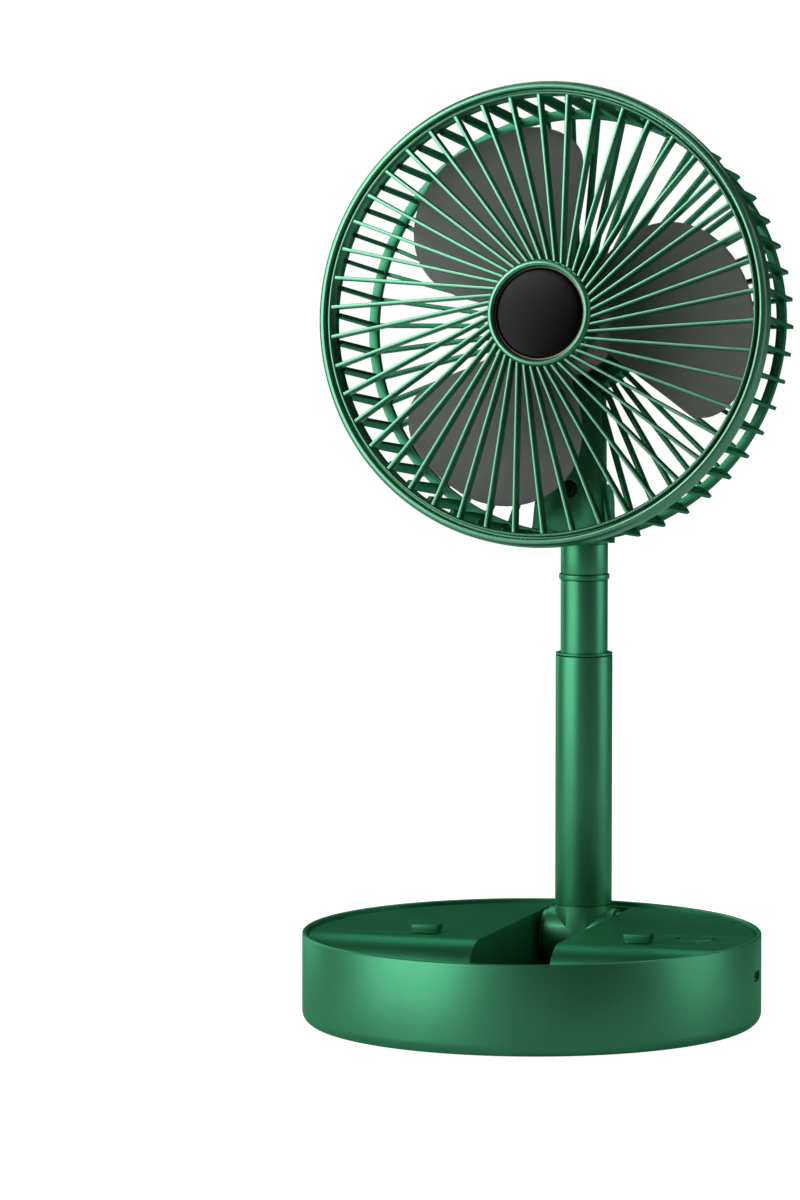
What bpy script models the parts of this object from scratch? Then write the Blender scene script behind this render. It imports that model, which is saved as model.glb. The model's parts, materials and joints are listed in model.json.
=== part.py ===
"""Folding desk fan: a round base, a telescopic pole that folds at its foot, a tilting head and its rotor.

Object frame: +Z up, front towards -Y, origin at the centre of the base on the surface it stands on.
Head frame: u to the object's right, v up the face, w out of the face, origin in the front ring's plane.
"""

import math

import bmesh
import bpy
from mathutils import Matrix, Vector

MM = 0.001
GAP = 0.3 * MM
SIDES = 48
MIDDLE_SIDES = 24
SMALL_SIDES = 12

# Base
BASE_R = 86.0 * MM
BASE_H = 34.5 * MM
BASE_FILLET = 6.5 * MM
BASE_WALL = 1.9 * MM
FLOOR_Z = 1.0 * MM
FLOOR_T = 2.0 * MM
DECK_Z = 32.8 * MM
DECK_T = 1.8 * MM
DECK_LOW = 8.0 * MM
SHOULDER_Y = -16.0 * MM
SHOULDER_R = 14.0 * MM
CHANNEL_HALF = 15.5 * MM
CHANNEL_END = 80.0 * MM
TAB_PLACES = (-39.2 * MM, 43.4 * MM)
TAB_Y = -6.0 * MM
TAB_SIZE = (9.8 * MM, 7.0 * MM, 3.2 * MM)
BUTTON_AT = (61.4 * MM, 9.0 * MM)
BUTTON_R = 6.5 * MM
LED_RING_R = 10.6 * MM
LED_R = 0.8 * MM
PORT_ANGLE = math.radians(4.0)
PORT_Z = 20.5 * MM
FOOT_RING_R = 64.0 * MM
SCREW_RING_R = 73.0 * MM
SCREW_ANGLES = (-8.0, 58.0, 122.0, 188.0)

# Pole
POLE_Y = 67.8 * MM
FOLD_Z = 23.0 * MM
OUTER_R = 10.9 * MM
OUTER_BORE_R = 10.2 * MM
OUTER_TOP = 132.5 * MM
SEAM_Z = 35.6 * MM
BARREL_HALF = 13.2 * MM
PIN_R = 2.4 * MM
INNER_R = 9.05 * MM
INNER_LOW = 94.0 * MM
NECK_Z = 174.5 * MM
RING_Z = 160.6 * MM
RING_T = 2.0 * MM

# Head hinge
TILT_Z = 188.0 * MM
NECK_HALF = 9.6 * MM
NECK_FRONT = 11.3 * MM
EAR_R = 9.0 * MM
EAR_IN = 5.9 * MM
LUG_HALF = 4.6 * MM
TILT_PIN_R = 1.9 * MM

# Head
HEAD_TILT = math.radians(8.6)
HEAD_Y = 8.8 * MM
HEAD_Z = 265.2 * MM
SPOKES = 46
SPOKE_TURN = math.radians(-2.9)
SPOKE_T = 1.3 * MM
SPOKE_OFFSET = 8.0 * MM
FINS = 50
FIN_TURN = math.radians(0.9)
FIN_T = 1.5 * MM
REAR_RING_R = 82.2 * MM
REAR_RING_T = 3.6 * MM
REAR_W = -48.0 * MM
TIP_R = 83.6 * MM
TIP_W = -53.3 * MM
CUP_R = 25.8 * MM
BLADES = 3
BLADE_ROOT_R = 19.4 * MM
BLADE_TIP_R = 75.3 * MM
BLADE_W = -25.0 * MM
BLADE_PITCH = 8.0 * MM
BLADE_MIDDLE = 8.0
BLADE_SWEEP = 42.0
BLADE_T = 1.5 * MM


def clear_scene():
    for obj in list(bpy.data.objects):
        bpy.data.objects.remove(obj, do_unlink=True)


def make_material(name, color, roughness, metallic=0.0):
    material = bpy.data.materials.new(name)
    material.use_nodes = True
    shader = material.node_tree.nodes["Principled BSDF"]
    shader.inputs["Base Color"].default_value = (*color, 1.0)
    shader.inputs["Roughness"].default_value = roughness
    shader.inputs["Metallic"].default_value = metallic
    return material


def add_empty(name, matrix, parent=None):
    empty = bpy.data.objects.new(name, None)
    bpy.context.collection.objects.link(empty)
    empty.parent = parent
    empty.matrix_local = matrix if parent is None else parent.matrix_world.inverted() @ matrix
    bpy.context.view_layer.update()
    return empty


def add_part(name, bm, material, parent=None, frame=Matrix()):
    """An object whose mesh is given in frame, hung on parent without moving it."""
    bmesh.ops.recalc_face_normals(bm, faces=bm.faces)
    mesh = bpy.data.meshes.new(name)
    bm.to_mesh(mesh)
    bm.free()
    mesh.shade_smooth()
    mesh.set_sharp_from_angle(angle=math.radians(35))
    if material is not None:
        mesh.materials.append(material)
    obj = bpy.data.objects.new(name, mesh)
    bpy.context.collection.objects.link(obj)
    obj.parent = parent
    obj.matrix_local = frame if parent is None else parent.matrix_world.inverted() @ frame
    return obj


def combine(obj, tool_bm, operation, frame=Matrix()):
    """A Boolean with a hidden wire tool, given in the same frame as obj's mesh."""
    tool = add_part(f"{obj.name}_tool_{len(obj.modifiers)}", tool_bm, None, frame=frame)
    tool.hide_render = True
    tool.display_type = "WIRE"
    modifier = obj.modifiers.new("shape", "BOOLEAN")
    modifier.operation = operation
    modifier.object = tool


def turned(outline, sides=SIDES):
    """A closed (radius, height) outline turned about +Z."""
    bm = bmesh.new()
    rings = []
    for radius, height in outline:
        count = sides if radius > 0 else 1
        turn = [math.tau * i / sides for i in range(count)]
        rings.append([bm.verts.new((radius * math.cos(a), radius * math.sin(a), height)) for a in turn])
    for low, high in zip(rings, rings[1:] + rings[:1]):
        if len(low) == 1 and len(high) == 1:
            continue
        for i in range(sides):
            j = (i + 1) % sides
            corners = [low[i % len(low)], low[j % len(low)], high[j % len(high)], high[i % len(high)]]
            bm.faces.new(list(dict.fromkeys(corners)))
    return bm


def arc(centre, radius, start, end, steps):
    """Points on an arc in a plane, angles in degrees."""
    angles = [math.radians(start + (end - start) * i / steps) for i in range(steps + 1)]
    return [(centre[0] + radius * math.cos(a), centre[1] + radius * math.sin(a)) for a in angles]


def prism(outline, low, high, axes):
    """A flat outline in the plane of the first two axes, from low to high along the third."""
    bm = bmesh.new()
    a, b, c = ("xyz".index(axis) for axis in axes)
    ends = []
    for level in (low, high):
        ring = []
        for p, q in outline:
            point = [0.0, 0.0, 0.0]
            point[a], point[b], point[c] = p, q, level
            ring.append(bm.verts.new(point))
        ends.append(ring)
    bm.faces.new(ends[0])
    bm.faces.new(ends[1])
    for i in range(len(outline)):
        j = (i + 1) % len(outline)
        bm.faces.new((ends[0][i], ends[0][j], ends[1][j], ends[1][i]))
    return bm


def box(low, high):
    outline = [(low[0], low[1]), (high[0], low[1]), (high[0], high[1]), (low[0], high[1])]
    return prism(outline, low[2], high[2], "xyz")


def cylinder(radius, low, high, sides=SMALL_SIDES, bore=0.0):
    if bore:
        return turned([(bore, low), (radius, low), (radius, high), (bore, high)], sides)
    return turned([(0, low), (radius, low), (radius, high), (0, high)], sides)


def moved(bm, matrix):
    bmesh.ops.transform(bm, matrix=matrix, verts=bm.verts)
    return bm


def merged(*parts):
    """Several closed bodies in one mesh, for use as one Boolean tool."""
    whole = bmesh.new()
    for part in parts:
        mesh = bpy.data.meshes.new("merge")
        part.to_mesh(mesh)
        part.free()
        whole.from_mesh(mesh)
        bpy.data.meshes.remove(mesh)
    return whole


def polar(radius, degrees, z=0.0):
    angle = math.radians(degrees)
    return Vector((radius * math.cos(angle), radius * math.sin(angle), z))


def across(y, z):
    """Carries a body turned about +Z onto the X-wise axis through y, z."""
    return Matrix.Translation((0, y, z)) @ Matrix.Rotation(math.pi / 2, 4, "Y")


GREEN = make_material("green_shell", (0.05, 0.28, 0.16), 0.34, 0.35)
GREEN_SATIN = make_material("green_trim", (0.10, 0.38, 0.23), 0.3, 0.35)
GREY = make_material("impeller_grey", (0.12, 0.12, 0.115), 0.5)
BLACK = make_material("badge_black", (0.01, 0.01, 0.01), 0.08)
RUBBER = make_material("rubber", (0.03, 0.03, 0.03), 0.85)
STEEL = make_material("steel", (0.6, 0.6, 0.6), 0.3, 1.0)
POLYMER = make_material("bush_polymer", (0.75, 0.75, 0.72), 0.5)
BOARD = make_material("board", (0.02, 0.2, 0.08), 0.5)
CELL = make_material("cell_wrap", (0.1, 0.2, 0.5), 0.4)
LIGHT = make_material("light_pipe", (0.85, 0.9, 0.85), 0.2)
COPPER = make_material("copper", (0.7, 0.32, 0.15), 0.35, 1.0)


def build_base_shell():
    top = BASE_H
    inner_r = BASE_R - BASE_WALL
    floor_top = FLOOR_Z + FLOOR_T
    fillet_in = BASE_FILLET - BASE_WALL
    outline = [(inner_r, top - 0.3 * MM), (inner_r + 0.3 * MM, top), (BASE_R - 0.5 * MM, top)]
    outline += [(BASE_R, top - 0.5 * MM)]
    outline += arc((BASE_R - BASE_FILLET, FLOOR_Z + BASE_FILLET), BASE_FILLET, 0, -90, 4)
    outline += [(0, FLOOR_Z), (0, floor_top)]
    outline += arc((inner_r - fillet_in, floor_top + fillet_in), fillet_in, -90, 0, 2)
    shell = add_part("base_shell", turned(outline), GREEN)
    recesses = [
        moved(cylinder(6.3 * MM, 0, FLOOR_Z + 1.2 * MM), Matrix.Translation(polar(FOOT_RING_R, a)))
        for a in (45, 135, 225, 315)
    ]
    holes = [
        moved(turned([(0, 0), (3.1 * MM, 0), (3.1 * MM, 2.0 * MM), (1.6 * MM, 2.0 * MM), (1.6 * MM, 5 * MM),
                      (0, 5 * MM)], 16), Matrix.Translation(polar(SCREW_RING_R, a)))
        for a in SCREW_ANGLES
    ]
    combine(shell, merged(*recesses, *holes), "DIFFERENCE")
    slot = prism(port_outline(4.9 * MM, 1.9 * MM), BASE_R - 6 * MM, BASE_R + 4 * MM, "xyz")
    combine(shell, moved(slot, port_frame()), "DIFFERENCE")


def port_outline(half_width, half_height):
    """A slot with round ends, long side along the first axis."""
    right = arc((half_width - half_height, 0), half_height, -90, 90, 6)
    left = arc((half_height - half_width, 0), half_height, 90, 270, 6)
    return right + left


def port_frame():
    """z out through the side wall, x along the wall, y up."""
    out = polar(1.0, math.degrees(PORT_ANGLE))
    along = Vector((-out.y, out.x, 0))
    up = Vector((0, 0, 1))
    frame = Matrix((along, up, out)).transposed().to_4x4()
    return Matrix.Translation((0, 0, PORT_Z)) @ frame


def build_charge_port():
    outer = prism(port_outline(4.5 * MM, 1.6 * MM), BASE_R - 9 * MM, BASE_R - 1.0 * MM, "xyz")
    port = add_part("charge_port", moved(outer, port_frame()), STEEL)
    hollow = prism(port_outline(4.1 * MM, 1.2 * MM), BASE_R - 8 * MM, BASE_R + 1 * MM, "xyz")
    combine(port, moved(hollow, port_frame()), "DIFFERENCE")
    tongue = box((-3.0 * MM, -0.35 * MM, BASE_R - 8.5 * MM), (3.0 * MM, 0.35 * MM, BASE_R - 2 * MM))
    combine(port, moved(tongue, port_frame()), "UNION")


def build_deck_plate():
    deck_r = BASE_R - BASE_WALL - GAP
    deck = add_part("deck_plate", cylinder(deck_r, DECK_LOW, DECK_Z, SIDES), GREEN)
    far = 95 * MM
    shoulder_end = SHOULDER_Y - SHOULDER_R
    centre = (SHOULDER_Y, DECK_Z - SHOULDER_R)
    trough_z = DECK_LOW + DECK_T
    front = [(-far, trough_z), (shoulder_end, trough_z)]
    front += arc(centre, SHOULDER_R, 180, 90, 8) + [(SHOULDER_Y, 2 * DECK_Z), (-far, 2 * DECK_Z)]
    combine(deck, prism(front, -far, far, "yzx"), "DIFFERENCE")
    wall_x = CHANNEL_HALF + DECK_T
    under = [(far, 0), (far, DECK_Z - DECK_T)]
    under += arc(centre, SHOULDER_R - DECK_T, 90, 180, 8) + [(shoulder_end + DECK_T, 0)]
    pockets = merged(prism(under, wall_x, far, "yzx"), prism(under, -far, -wall_x, "yzx"))
    combine(deck, pockets, "DIFFERENCE")
    channel = box((-CHANNEL_HALF, -60 * MM, trough_z), (CHANNEL_HALF, CHANNEL_END, 2 * DECK_Z))
    combine(deck, channel, "DIFFERENCE")
    tabs = []
    for x in TAB_PLACES:
        low = (x - TAB_SIZE[0] / 2, TAB_Y - TAB_SIZE[1] / 2, DECK_Z - DECK_T / 2)
        high = (x + TAB_SIZE[0] / 2, TAB_Y + TAB_SIZE[1] / 2, DECK_Z + TAB_SIZE[2])
        tabs.append(box(low, high))
    bosses = [
        moved(cylinder(3.4 * MM, FLOOR_Z + FLOOR_T + GAP, DECK_Z - DECK_T / 2),
              Matrix.Translation(polar(SCREW_RING_R, a)))
        for a in SCREW_ANGLES
    ]
    combine(deck, merged(*tabs, *bosses), "UNION")
    bores = [
        moved(cylinder(1.6 * MM, 0, 14 * MM, 12), Matrix.Translation(polar(SCREW_RING_R, a)))
        for a in SCREW_ANGLES
    ]
    button_hole = moved(
        cylinder(BUTTON_R + 1.6 * MM, 20 * MM, 2 * DECK_Z), Matrix.Translation((*BUTTON_AT, 0))
    )
    leds = [
        moved(cylinder(LED_R + GAP, 20 * MM, 2 * DECK_Z, 12), Matrix.Translation(place))
        for place in led_places()
    ]
    combine(deck, merged(*bores, button_hole, *leds), "DIFFERENCE")
    pin_hole = moved(cylinder(5.3 * MM, -25 * MM, 25 * MM), across(POLE_Y, FOLD_Z))
    combine(deck, pin_hole, "DIFFERENCE")


def led_places():
    return [
        Vector((*BUTTON_AT, 0)) + polar(LED_RING_R, angle)
        for angle in (225, 255, 285, 315)
    ]


def build_controls():
    at = Matrix.Translation((*BUTTON_AT, 0))
    inner = BUTTON_R + GAP
    outer = BUTTON_R + 1.3 * MM
    bezel = [(inner, 27.5 * MM), (outer, 27.5 * MM), (outer, DECK_Z), (inner, DECK_Z)]
    add_part("button_bezel", turned(bezel, MIDDLE_SIDES), GREEN_SATIN, frame=at)
    travel = add_empty("button_travel", at)
    cap = [(0, 26.5 * MM), (2.5 * MM, 26.5 * MM), (2.5 * MM, 29 * MM), (BUTTON_R, 29 * MM)]
    cap += [(BUTTON_R, DECK_Z - 0.1 * MM), (BUTTON_R - 0.6 * MM, DECK_Z + 0.5 * MM), (0, DECK_Z + 0.5 * MM)]
    add_part("power_button", turned(cap, MIDDLE_SIDES), GREEN_SATIN, parent=travel, frame=at)
    for number, place in enumerate(led_places(), 1):
        pipe = cylinder(LED_R, 25.2 * MM, DECK_Z, 12)
        add_part(f"led_light_pipe_{number}", pipe, LIGHT, frame=Matrix.Translation(place))
    x, y = BUTTON_AT
    board = box((x - 34 * MM, y - 14 * MM, 23.2 * MM), (x + 11 * MM, y + 14 * MM, 24.8 * MM))
    add_part("control_board", board, BOARD)


def build_power():
    cell_r = 9.0 * MM
    length = 65 * MM
    axis_z = 13.6 * MM
    for side, x in (("left", -52.5 * MM), ("right", -33.0 * MM)):
        outline = [(0, 0), (cell_r - 0.5 * MM, 0), (cell_r, 0.5 * MM), (cell_r, length - 1 * MM)]
        outline += [(3 * MM, length - 1 * MM), (3 * MM, length), (0, length)]
        cell = turned(outline, SMALL_SIDES)
        frame = Matrix.Translation((x, -20 * MM, axis_z)) @ Matrix.Rotation(-math.pi / 2, 4, "X")
        add_part(f"battery_cell_{side}", cell, CELL, frame=frame)
    low = (-63.0 * MM, -22.5 * MM, 3.4 * MM)
    high = (-22.5 * MM, 47.5 * MM, 13 * MM)
    cradle = add_part("battery_cradle", box(low, high), POLYMER)
    inside = (low[0] + 1.5 * MM, low[1] + 1.5 * MM, 4.2 * MM)
    combine(cradle, box(inside, (high[0] - 1.5 * MM, high[1] - 1.5 * MM, 20 * MM)), "DIFFERENCE")


def build_fold_hinge():
    flange = BARREL_HALF + GAP
    for side, sign in (("left", -1), ("right", 1)):
        bush = [(PIN_R + GAP, flange), (9.6 * MM, flange), (9.6 * MM, CHANNEL_HALF - GAP)]
        bush += [(5.0 * MM, CHANNEL_HALF - GAP), (5.0 * MM, 18.2 * MM), (PIN_R + GAP, 18.2 * MM)]
        mirrored = [(radius, sign * height) for radius, height in bush]
        add_part(f"fold_bush_{side}", moved(turned(mirrored, MIDDLE_SIDES), across(POLE_Y, FOLD_Z)), GREEN)
    pin = cylinder(PIN_R, -19.5 * MM, 19.5 * MM, SMALL_SIDES)
    add_part("fold_pin", moved(pin, across(POLE_Y, FOLD_Z)), STEEL)


def build_feet_and_screws():
    for number, angle in enumerate((45, 135, 225, 315), 1):
        foot = turned(profile([(0, 0), (5.4, 0), (6.0, 0.6), (6.0, 1.9), (0, 1.9)]), SMALL_SIDES)
        place = Matrix.Translation(polar(FOOT_RING_R, angle))
        add_part(f"rubber_foot_{number}", foot, RUBBER, frame=place)
    for number, angle in enumerate(SCREW_ANGLES, 1):
        head_r, shank_r = 2.6 * MM, 1.3 * MM
        screw = [(0, 0.9 * MM), (head_r, 0.9 * MM), (head_r, 1.7 * MM), (shank_r, 1.7 * MM)]
        screw += [(shank_r, 12 * MM), (0, 12.8 * MM)]
        add_part(f"case_screw_{number}", turned(screw, 12), STEEL,
                 frame=Matrix.Translation(polar(SCREW_RING_R, angle)))


def build_pole(fold_axis):
    at = Matrix.Translation((0, POLE_Y, 0))
    barrel = moved(cylinder(OUTER_R, -BARREL_HALF, BARREL_HALF, 32), across(POLE_Y, FOLD_Z))
    foot = add_part("pole_foot", barrel, GREEN, parent=fold_axis)
    combine(foot, moved(cylinder(OUTER_R - 0.3 * MM, FOLD_Z + 0.5 * MM, SEAM_Z - GAP, 32), at), "UNION")
    spigot_r = OUTER_BORE_R - GAP
    combine(foot, moved(cylinder(spigot_r, FOLD_Z + 2 * MM, SEAM_Z + 10 * MM, MIDDLE_SIDES), at), "UNION")
    combine(foot, moved(cylinder(PIN_R + GAP, -30 * MM, 30 * MM), across(POLE_Y, FOLD_Z)), "DIFFERENCE")
    tube_top = OUTER_TOP - 0.9 * MM - GAP
    tube = [(OUTER_BORE_R, SEAM_Z), (OUTER_R - 0.2 * MM, SEAM_Z), (OUTER_R, SEAM_Z + 0.3 * MM)]
    tube += [(OUTER_R, tube_top), (OUTER_BORE_R, tube_top)]
    add_part("outer_tube", turned(tube, MIDDLE_SIDES), GREEN, parent=fold_axis, frame=at)
    low = OUTER_TOP - 12 * MM
    bush = [(INNER_R + GAP, low), (OUTER_BORE_R - GAP, low), (OUTER_BORE_R - GAP, OUTER_TOP - 0.9 * MM)]
    bush += [(OUTER_R, OUTER_TOP - 0.9 * MM), (OUTER_R, OUTER_TOP - 0.3 * MM)]
    bush += [(OUTER_R - 0.3 * MM, OUTER_TOP), (INNER_R + GAP, OUTER_TOP)]
    add_part("guide_bush", turned(bush, MIDDLE_SIDES), GREEN, parent=fold_axis, frame=at)


def build_inner_pole(slide_axis):
    at = Matrix.Translation((0, POLE_Y, 0))
    bore = INNER_R - 1.1 * MM
    groove_low, groove_high = RING_Z - GAP, RING_Z + RING_T + GAP
    groove_r = INNER_R - 0.6 * MM
    tube = [(bore, INNER_LOW), (INNER_R, INNER_LOW), (INNER_R, groove_low), (groove_r, groove_low)]
    tube += [(groove_r, groove_high), (INNER_R, groove_high), (INNER_R, NECK_Z - GAP), (bore, NECK_Z - GAP)]
    add_part("inner_tube", turned(tube, MIDDLE_SIDES), GREEN, parent=slide_axis, frame=at)
    ring_in, ring_out = groove_r + 0.3 * MM, INNER_R + 0.6 * MM
    ring = [(ring_in, RING_Z), (ring_out - 0.3 * MM, RING_Z), (ring_out, RING_Z + 0.4 * MM)]
    ring += [(ring_out, RING_Z + RING_T - 0.4 * MM), (ring_out - 0.3 * MM, RING_Z + RING_T)]
    ring += [(ring_in, RING_Z + RING_T)]
    add_part("neck_ring", turned(ring, MIDDLE_SIDES), GREEN_SATIN, parent=slide_axis, frame=at)
    stop_top = OUTER_TOP - 12.6 * MM
    stop = cylinder(OUTER_BORE_R - GAP, stop_top - 10 * MM, stop_top, MIDDLE_SIDES, bore=INNER_R + GAP)
    add_part("slide_bush", stop, POLYMER, parent=slide_axis, frame=at)
    build_clevis(slide_axis)


def build_clevis(slide_axis):
    y, z = POLE_Y, TILT_Z
    side = [(y - NECK_FRONT, NECK_Z), (y + NECK_HALF, NECK_Z), (y + NECK_HALF, z - 4 * MM)]
    side += arc((y, z), EAR_R, -10, 190, 12) + [(y - NECK_FRONT, z - 7.5 * MM)]
    clevis = add_part("neck_clevis", prism(side, -NECK_HALF, NECK_HALF, "yzx"), GREEN, parent=slide_axis)
    slot_z = z - EAR_R - 0.2 * MM
    combine(clevis, box((-EAR_IN, y - 30 * MM, slot_z), (EAR_IN, y + 30 * MM, z + 30 * MM)), "DIFFERENCE")
    bore = moved(cylinder(TILT_PIN_R + GAP, -20 * MM, 20 * MM), across(y, z))
    combine(clevis, bore, "DIFFERENCE")
    plug = cylinder(INNER_R - 1.1 * MM - GAP, NECK_Z - 8 * MM, NECK_Z + 1 * MM, MIDDLE_SIDES)
    combine(clevis, moved(plug, Matrix.Translation((0, y, 0))), "UNION")


def build_tilt_pin(pin_axis):
    place = across(POLE_Y, TILT_Z)
    pin = cylinder(TILT_PIN_R, -NECK_HALF + 0.2 * MM, NECK_HALF - 0.2 * MM)
    add_part("tilt_pin", moved(pin, place), STEEL, parent=pin_axis)
    for side, sign in (("left", -1), ("right", 1)):
        ends = sorted((sign * (LUG_HALF + GAP), sign * (EAR_IN - GAP)))
        washer = cylinder(6.5 * MM, ends[0], ends[1], bore=TILT_PIN_R + GAP)
        add_part(f"friction_washer_{side}", moved(washer, place), POLYMER, parent=pin_axis)


def profile(points):
    """An outline given in millimetres."""
    return [(first * MM, second * MM) for first, second in points]


def head_frame():
    """Carries head coordinates (u, v, w) to the object frame."""
    turn = Matrix.Rotation(math.pi / 2 - HEAD_TILT, 4, "X")
    return Matrix.Translation((0, HEAD_Y, HEAD_Z)) @ turn


def tilt_axis_in_head():
    local = head_frame().inverted() @ Vector((0, POLE_Y, TILT_Z))
    return local.y, local.z


def spoke(angle, stations, thickness, swirl):
    """A flat rib through stations of (radius, low w, high w).

    Its line passes beside the head's axis at the distance swirl, so that it leaves the hub at a slant.
    """
    bm = bmesh.new()
    turn = Matrix.Rotation(angle, 4, "Z")
    rings = []
    for radius, low, high in stations:
        along = math.sqrt(radius * radius - swirl * swirl)
        ring = []
        for side, w in ((-1, low), (1, low), (1, high), (-1, high)):
            point = Vector((along, swirl + side * thickness / 2, w))
            ring.append(bm.verts.new(turn @ point))
        rings.append(ring)
    bm.faces.new(rings[0])
    bm.faces.new(rings[-1])
    for near, away in zip(rings, rings[1:]):
        for i in range(4):
            j = (i + 1) % 4
            bm.faces.new((near[i], near[j], away[j], away[i]))
    bmesh.ops.recalc_face_normals(bm, faces=bm.faces)
    return bm


def build_front_grille(head, frame):
    ring = [(82.0, -6.0), (82.0, 0.0), (86.4, 0.0), (87.2, -1.0), (87.2, -7.0), (85.7, -7.0), (85.7, -6.0)]
    hub = [(0.0, -4.0), (20.1, -4.0), (20.1, 1.8), (19.2, 2.6), (17.5, 2.6), (17.5, -1.5), (0.0, -1.5)]
    rings = merged(turned(profile(ring), SIDES), turned(profile(hub), MIDDLE_SIDES))
    grille = add_part("front_grille", rings, GREEN_SATIN, parent=head, frame=frame)
    stations = [(19.0 * MM, -3.9 * MM, 1.3 * MM), (83.0 * MM, -5.7 * MM, -0.5 * MM)]
    turns = [SPOKE_TURN + math.tau * i / SPOKES for i in range(SPOKES)]
    ribs = [spoke(turn, stations, SPOKE_T, -SPOKE_OFFSET) for turn in turns]
    combine(grille, merged(*ribs), "UNION", frame)
    badge = profile([(0, -1.2), (17.1, -1.2), (17.1, 0.5), (16.6, 1.0), (0, 1.0)])
    add_part("hub_badge", turned(badge, MIDDLE_SIDES), BLACK, parent=head, frame=frame)


def build_rear_grille(head, frame):
    flange = [(82.6, -12.0), (85.4, -12.0), (85.4, -7.3), (82.6, -7.3)]
    cup = [(4.3, -56.0), (CUP_R / MM, -56.0), (CUP_R / MM, -45.5), (24.2, -45.5), (24.2, -54.4), (5.8, -54.4)]
    cup += [(5.8, -39.2), (4.3, -39.2)]
    band_in, band_low, band_high = REAR_RING_R - REAR_RING_T, REAR_W - 1.4 * MM, REAR_W + 1.6 * MM
    band = [(band_in, band_low), (REAR_RING_R, band_low), (REAR_RING_R, band_high), (band_in, band_high)]
    rings = merged(turned(profile(flange), SIDES), turned(band, SIDES), turned(profile(cup), MIDDLE_SIDES))
    grille = add_part("rear_grille", rings, GREEN, parent=head, frame=frame)
    fins = [fin(FIN_TURN + math.tau * i / FINS) for i in range(FINS)]
    combine(grille, merged(*fins), "UNION", frame)
    combine(grille, spine_plate(), "UNION", frame)
    v, _ = tilt_axis_in_head()
    hole = turned(profile([(0, -60), (1.5, -60), (1.5, -52), (3.2, -52), (3.2, -40), (0, -40)]), 16)
    combine(grille, moved(hole, Matrix.Translation((0, v + 5.5 * MM, 0))), "DIFFERENCE", frame)


def fin(angle):
    """An L-shaped rib: back along the side of the cage, then straight in to the motor cup."""
    bm = bmesh.new()
    turn = Matrix.Rotation(angle, 4, "Z")
    outer = [(84.6 * MM, -9.0 * MM), (TIP_R, TIP_W), (CUP_R - 0.8 * MM, -54.2 * MM)]
    inner = [(80.9 * MM, -9.0 * MM), (79.4 * MM, -48.8 * MM), (CUP_R - 0.8 * MM, -49.2 * MM)]
    rings = []
    for (r_out, w_out), (r_in, w_in) in zip(outer, inner):
        corners = ((-1, r_out, w_out), (1, r_out, w_out), (1, r_in, w_in), (-1, r_in, w_in))
        rings.append([bm.verts.new(turn @ Vector((r, side * FIN_T / 2, w))) for side, r, w in corners])
    bm.faces.new(rings[0])
    bm.faces.new(rings[-1])
    for near, away in zip(rings, rings[1:]):
        for i in range(4):
            j = (i + 1) % 4
            bm.faces.new((near[i], near[j], away[j], away[i]))
    bmesh.ops.recalc_face_normals(bm, faces=bm.faces)
    return bm


def spine_plate():
    """The wedge-shaped plate that carries the motor cup down to the hinge."""
    outline = profile([(-12.6, -82.5), (12.6, -82.5), (14.2, -80.5), (11.0, -25), (-11.0, -25), (-14.2, -80.5)])
    return prism(outline, -55.5 * MM, -47.8 * MM, "xyz")


def build_hinge_bracket(head, frame):
    v, w = tilt_axis_in_head()
    plate = box((-9.5 * MM, v - 6 * MM, -57.6 * MM), (9.5 * MM, v + 17 * MM, -55.8 * MM))
    bracket = add_part("hinge_bracket", plate, GREEN, parent=head, frame=frame)
    lug = [(v + 12 * MM, -56.5 * MM), (v - 6 * MM, -56.5 * MM)]
    lug_r = EAR_R - 0.5 * MM
    lug += [(v - lug_r, w)] + arc((v, w), lug_r, 190, 350, 10)[1:] + [(v + lug_r, w)]
    combine(bracket, prism(lug, -LUG_HALF, LUG_HALF, "yzx"), "UNION", frame)
    turn = Matrix.Translation((0, v, w)) @ Matrix.Rotation(math.pi / 2, 4, "Y")
    combine(bracket, moved(cylinder(TILT_PIN_R + GAP, -20 * MM, 20 * MM), turn), "DIFFERENCE", frame)
    bore = moved(cylinder(1.5 * MM, -62.5 * MM, -50 * MM, 12), Matrix.Translation((0, v + 5.5 * MM, 0)))
    combine(bracket, bore, "DIFFERENCE", frame)
    screw = profile([(0, -61.5), (1.2, -61), (1.2, -51.7), (2.8, -51.7), (2.8, -50), (0, -49.6)])
    place = frame @ Matrix.Translation((0, v + 5.5 * MM, 0))
    add_part("arm_screw", turned(screw, 16), STEEL, parent=head, frame=place)


def build_motor(head, frame):
    cover = [(0, -56.3), (24.4, -56.3), (25.4, -57.3), (24.6, -58.8), (20.0, -60.4), (12.0, -61.2), (0, -61.4)]
    add_part("motor_cover", turned(profile(cover), MIDDLE_SIDES), GREEN, parent=head, frame=frame)
    stator = cylinder(16.6 * MM, -53.4 * MM, -41.0 * MM, MIDDLE_SIDES, bore=6.1 * MM)
    add_part("motor_stator", stator, COPPER, parent=head, frame=frame)
    for name, low in (("rear", -55.0 * MM), ("front", -43.0 * MM)):
        bearing = cylinder(4.0 * MM, low, low + 3.2 * MM, SMALL_SIDES, bore=2.3 * MM)
        add_part(f"motor_bearing_{name}", bearing, STEEL, parent=head, frame=frame)


def blade_edges(radius):
    """Angles in degrees of the blade's clockwise and counterclockwise edges, seen from the front."""
    early = max(0.0, (radius - 30 * MM) / (45.5 * MM))
    late = max(0.0, (radius - 60 * MM) / (15.4 * MM))
    return -12 - 22 * math.sqrt(1 - late * late), 50 * math.sqrt(1 - early * early)


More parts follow.
